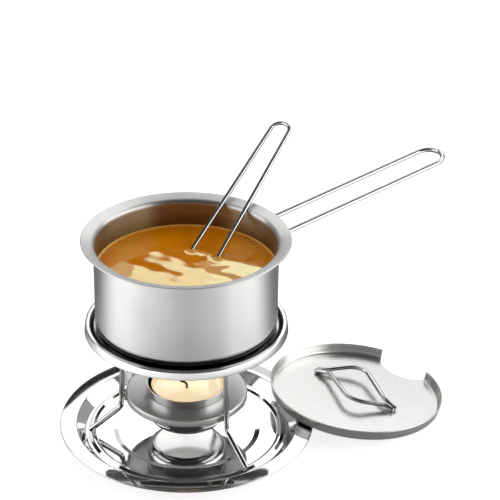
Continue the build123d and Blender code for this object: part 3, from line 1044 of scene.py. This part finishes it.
def lid_grid(lid):
    """The dish as a function of angle and of distance along its profile, cut at the notch.

    Along an angle t the notch circle, of radius n at distance c, is met at
    c cos t - sqrt(n^2 - c^2 sin^2 t), and the profile ends there. Angles and rows stand
    closer together at the notch's corners and at the wall's bend.
    """
    n, c = lid.notch_radius, lid.notch_reach
    bend_radius = 0.8
    line = [(0, SHEET), (LID_FOOT_R - SHEET, SHEET), (lid.rim_radius - SHEET, lid.depth)]
    upper = rounded(line, [bend_radius], 15)
    lower = rounded(beside(line, SHEET), [bend_radius + SHEET], 15)
    spans = ((0, 18.2, 56), (18.3, 19.75, 70), (19.9, 180, 170))
    half = np.radians(np.concatenate([np.linspace(*span) for span in spans]))
    t = np.concatenate([half, -half[-2:0:-1]])
    inside = n ** 2 - (c * np.sin(t)) ** 2
    met = np.where((inside > 0) & (np.cos(t) > 0),
                   c * np.cos(t) - np.sqrt(np.clip(inside, 0, None)), 1e3)
    rows = ((0, 0.84, 24), (0.85, 0.9, 26), (0.91, 1, 8))
    shares = np.concatenate([np.linspace(*row) for row in rows])

    def side(profile):
        at = measured(profile)[1]
        climb = np.maximum.accumulate(profile[:, 0] + 1e-6 * np.arange(len(profile)))
        limit = np.interp(met, climb, at)
        s = shares[:, None] * np.where(met >= climb[-1], at[-1] - SHEET / 2, limit)
        return about_axis(np.interp(s, at, profile[:, 0]), np.interp(s, at, profile[:, 1]), t)

    return side(upper), side(lower)


def lid_shape(lid):
    """Upper and lower faces of the lid joined over a rounded edge."""
    upper, lower = lid_grid(lid)
    edge = half_round(upper[-1], lower[-1], unit(upper[-1] - upper[-2]))
    vertices, faces = skin(np.concatenate([upper, edge, lower[::-1]]))
    return laid(vertices), faces


def lid_wire_path(sign, diameter):
    """A lid handle wire: straight feet, bowed out between them, arched over the floor.

    At a distance s along the handle, from -end to end, it lies arch (1 - (s / end)^2) above
    its seat.
    """
    middle_x, middle_y, end, foot_end, arch = 2.05, 1.7, 26.2, 17.5, 5.1
    bow_at, bow, bow_end = 9.0, 17.1, 22.6
    seat, foot = SHEET + diameter / 2, diameter / 2 + 0.02
    spots = np.array([(-end, foot), (-foot_end, foot), (bow_at, bow), (bow_end, foot),
                      (end, foot)])
    along, across = spots.T
    rise = seat + arch * (1 - (along / end) ** 2)
    points = np.stack([middle_x - sign * across, middle_y - sign * along, rise], 1)
    return even(rounded(points, [7.0, 10.0, 5.0], 21), 1.5)
    spots = np.array([(-end, foot), (-17.5, foot), (9.0, 17.1), (22.6, foot), (end, foot)])
    along, across = spots.T
    rise = seat + arch * (1 - (along / end) ** 2)
    points = np.stack([2.05 - sign * across, 1.7 - sign * along, rise], 1)
    return even(rounded(points, [7.0, 10.0, 5.0], 21), 1.5)


class FONDUE_OT_lid(bpy.types.Operator):
    """Build the notched lid and its handle of two bowed wires."""

    bl_idname = "fondue.lid"
    bl_label = "Lid"

    def execute(self, context):
        lid = in_mm(context.scene.fondue_lid)
        look = context.scene.fondue_look
        turning, at = lid_place()
        satin = steel_look(look, "satin", roughness=0.27, anisotropy=0.0)
        # Painted light: the lid's steel is the pot's satin made 15% lighter, a lit copy of the
        # same steel.
        satin.colour = tuple(c * 1.15 for c in satin.colour)
        plate_steel = steel("Lid steel", satin, tuple(at * MM), tuple(turning.to_euler()))
        piece("lid_dish", [lid_shape(lid)], plate_steel, "lid", "satin_steel", "lid_plate")
        bright = drawn_wire("Lid wire", steel_look(look, "wire"))
        upright = np.array(turning) @ (0, 0, 1)
        for name, sign in (("near", 1), ("far", -1)):
            path = laid(lid_wire_path(sign, lid.handle_wire))
            piece(f"lid_wire_{name}", [wire(path, lid.handle_wire / 2, upright)],
                  bright, "lid", "steel_wire", f"lid_handle_{name}")
        return {"FINISHED"}


# ---- stage --------------------------------------------------------------------------------

def panel(name, at, width, height, power, target=(0, 0, 0.06)):
    """A flat soft light aimed at a point."""
    light = bpy.data.lights.new(name, "AREA")
    light.shape = "RECTANGLE"
    light.size, light.size_y = width, height
    light.energy = power
    lamp = bpy.data.objects.new(name, light)
    lamp.location = at
    lamp.rotation_euler = (Vector(target) - Vector(at)).to_track_quat("-Z", "Y").to_euler()
    lamp.visible_camera = False
    bpy.context.scene.collection.objects.link(lamp)


def card(name, start, end, grey, height=0.34):
    """A grey card on the floor that only reflections see, as set beside bright metal."""
    recipe = Recipe(name)
    grey_card = recipe.made({
        "Base Color": (0, 0, 0, 1),
        "Roughness": 1.0,
        "Emission Color": (1, 1, 1, 1),
        "Emission Strength": grey,
    })
    corners = [(*start, 0), (*end, 0), (*end, height), (*start, height)]
    made = new_object(name, corners, [(0, 1, 2, 3)], grey_card)
    for ray in ("camera", "diffuse", "shadow", "transmission", "volume_scatter"):
        setattr(made, "visible_" + ray, False)


def room(brightness):
    """World: white to the camera. For lighting, a dim room whose grey changes with height."""
    recipe = Recipe("Studio room", "worlds")
    greys = recipe.tree.nodes.new("ShaderNodeValToRGB")
    steps = ((0.0, 0.30), (0.26, 0.24), (0.40, 0.03), (0.75, 0.02), (1.0, 0.12))
    for position, grey in steps[1:-1]:
        greys.color_ramp.elements.new(position)
    for step, (position, grey) in zip(greys.color_ramp.elements, steps):
        step.position, step.color = position, (grey, grey, grey, 1)
    recipe.feed(greys, {0: recipe.height(recipe.add("TexCoord", output="Generated"))})
    lit = recipe.add("Background", {0: greys.outputs[0], 1: brightness})
    white = recipe.add("Background", {0: (1, 1, 1, 1), 1: 1.0})
    recipe.facing_camera(lit, white, "World Output")
    bpy.context.scene.world = recipe.block


def floor_material(look):
    """Matt white sweep. Metal sees it as bounce cards: bright at both sides, dim behind."""
    recipe = Recipe("White sweep")
    place = recipe.place()
    floor = recipe.made({
        "Base Color": shade(look.floor),
        "Roughness": 0.9,
        "Emission Color": (1, 1, 1, 1),
        "Emission Strength": 0.78,
        "Normal": recipe.bump(recipe.noise(place, 240.0, 2.0), 0.02, 0.0002),
    })
    across = recipe.add("SeparateXYZ", {0: place}, "X")
    ahead = recipe.add("SeparateXYZ", {0: place}, "Y")
    off_middle = recipe.math("ABSOLUTE", recipe.math("SUBTRACT", across, 0.03))
    sides = recipe.ramp(off_middle, 0.0, 0.32, look.bounce * 0.55, look.bounce)
    front = recipe.ramp(ahead, -0.04, 0.14, 1.0, 0.12)
    reach = recipe.radius(recipe.vector("SUBTRACT", place, (0.02, 0, 0)))
    near = recipe.ramp(reach, 0.08, 0.19, 0.20, 1.0)
    strength = recipe.math("MULTIPLY", recipe.math("MULTIPLY", sides, front), near)
    matt = recipe.tree.nodes["Principled BSDF"].outputs[0]
    bounce = recipe.add("Emission", {"Strength": strength})
    recipe.facing_camera(bounce, matt, "Material Output")
    return floor


class FONDUE_OT_stage(bpy.types.Operator):
    """Set the camera, floor, room and soft panels."""

    bl_idname = "fondue.stage"
    bl_label = "Stage"

    def execute(self, context):
        look = context.scene.fondue_stage
        camera = bpy.data.cameras.new("Camera")
        camera.lens, camera.sensor_width = 128.3, 36.0
        camera.clip_start, camera.clip_end = 0.05, 30.0
        holder = bpy.data.objects.new("Camera", camera)
        holder.location = (0.03135, -0.77636, 0.51147)
        tilt = Matrix.Rotation(math.radians(62.39), 3, "X")
        roll = Matrix.Rotation(math.radians(0.858), 3, "Z")
        holder.rotation_euler = (tilt @ roll).to_euler()
        context.scene.collection.objects.link(holder)
        context.scene.camera = holder

        reach, below = 3.0, -0.0003
        corners = [(-reach, -reach), (reach, -reach), (reach, reach), (-reach, reach)]
        floor = new_object("Floor", [(x, y, below) for x, y in corners], [(0, 1, 2, 3)],
                           floor_material(look))

        side, back = look.side_light, look.back_light
        panel("Left panel", (-1.35, -0.12, 0.62), 1.6, 1.2, side * 0.78)
        panel("Right panel", (1.35, -0.05, 0.62), 2.2, 1.2, side * 1.375)
        panel("Back panel", (0.1, 1.90, 2.13), 3.2, 1.9, back)
        panel("Sauce glint", (-0.03, 1.75, 1.10), 0.26, 0.12, back * 0.009)
        panel("Low back panel", (0.42, 1.80, 0.88), 0.90, 0.48, back * 0.043, (0.09, 0.03, 0))
        card("Left card", (-0.9, 0.35), (-0.25, 1.0), 0.34)
        card("Right card", (0.35, 1.0), (0.95, 0.35), 0.42)
        room(look.sky)
        context.scene.view_settings.view_transform = "Standard"
        return {"FINISHED"}


class FONDUE_PT_panel(bpy.types.Panel):
    """Lists the pieces and their values."""

    bl_idname = "FONDUE_PT_panel"
    bl_label = "Fondue set"
    bl_space_type = "VIEW_3D"
    bl_region_type = "UI"
    bl_category = "Fondue"

    def draw(self, context):
        for group in GROUPS:
            box = self.layout.box()
            box.label(text=group.replace("_", " ").capitalize())
            values = getattr(context.scene, group)
            for name in values.__annotations__:
                box.prop(values, name)
        for operator in OPERATORS:
            self.layout.operator(operator.bl_idname)


OPERATORS = (
    FONDUE_OT_stage,
    FONDUE_OT_tray,
    FONDUE_OT_stand,
    FONDUE_OT_tealight,
    FONDUE_OT_pot,
    FONDUE_OT_sauce,
    FONDUE_OT_ladle,
    FONDUE_OT_lid,
)


def register():
    for cls in (*GROUPS.values(), *OPERATORS, FONDUE_PT_panel):
        bpy.utils.register_class(cls)
    for name, group in GROUPS.items():
        setattr(bpy.types.Scene, name, PointerProperty(type=group))


def unregister():
    for name in GROUPS:
        delattr(bpy.types.Scene, name)
    for cls in reversed((*GROUPS.values(), *OPERATORS, FONDUE_PT_panel)):
        bpy.utils.unregister_class(cls)


def main():
    register()
    for operator in OPERATORS:
        family, name = operator.bl_idname.split(".")
        getattr(getattr(bpy.ops, family), name)()


if __name__ == "__main__":
    main()
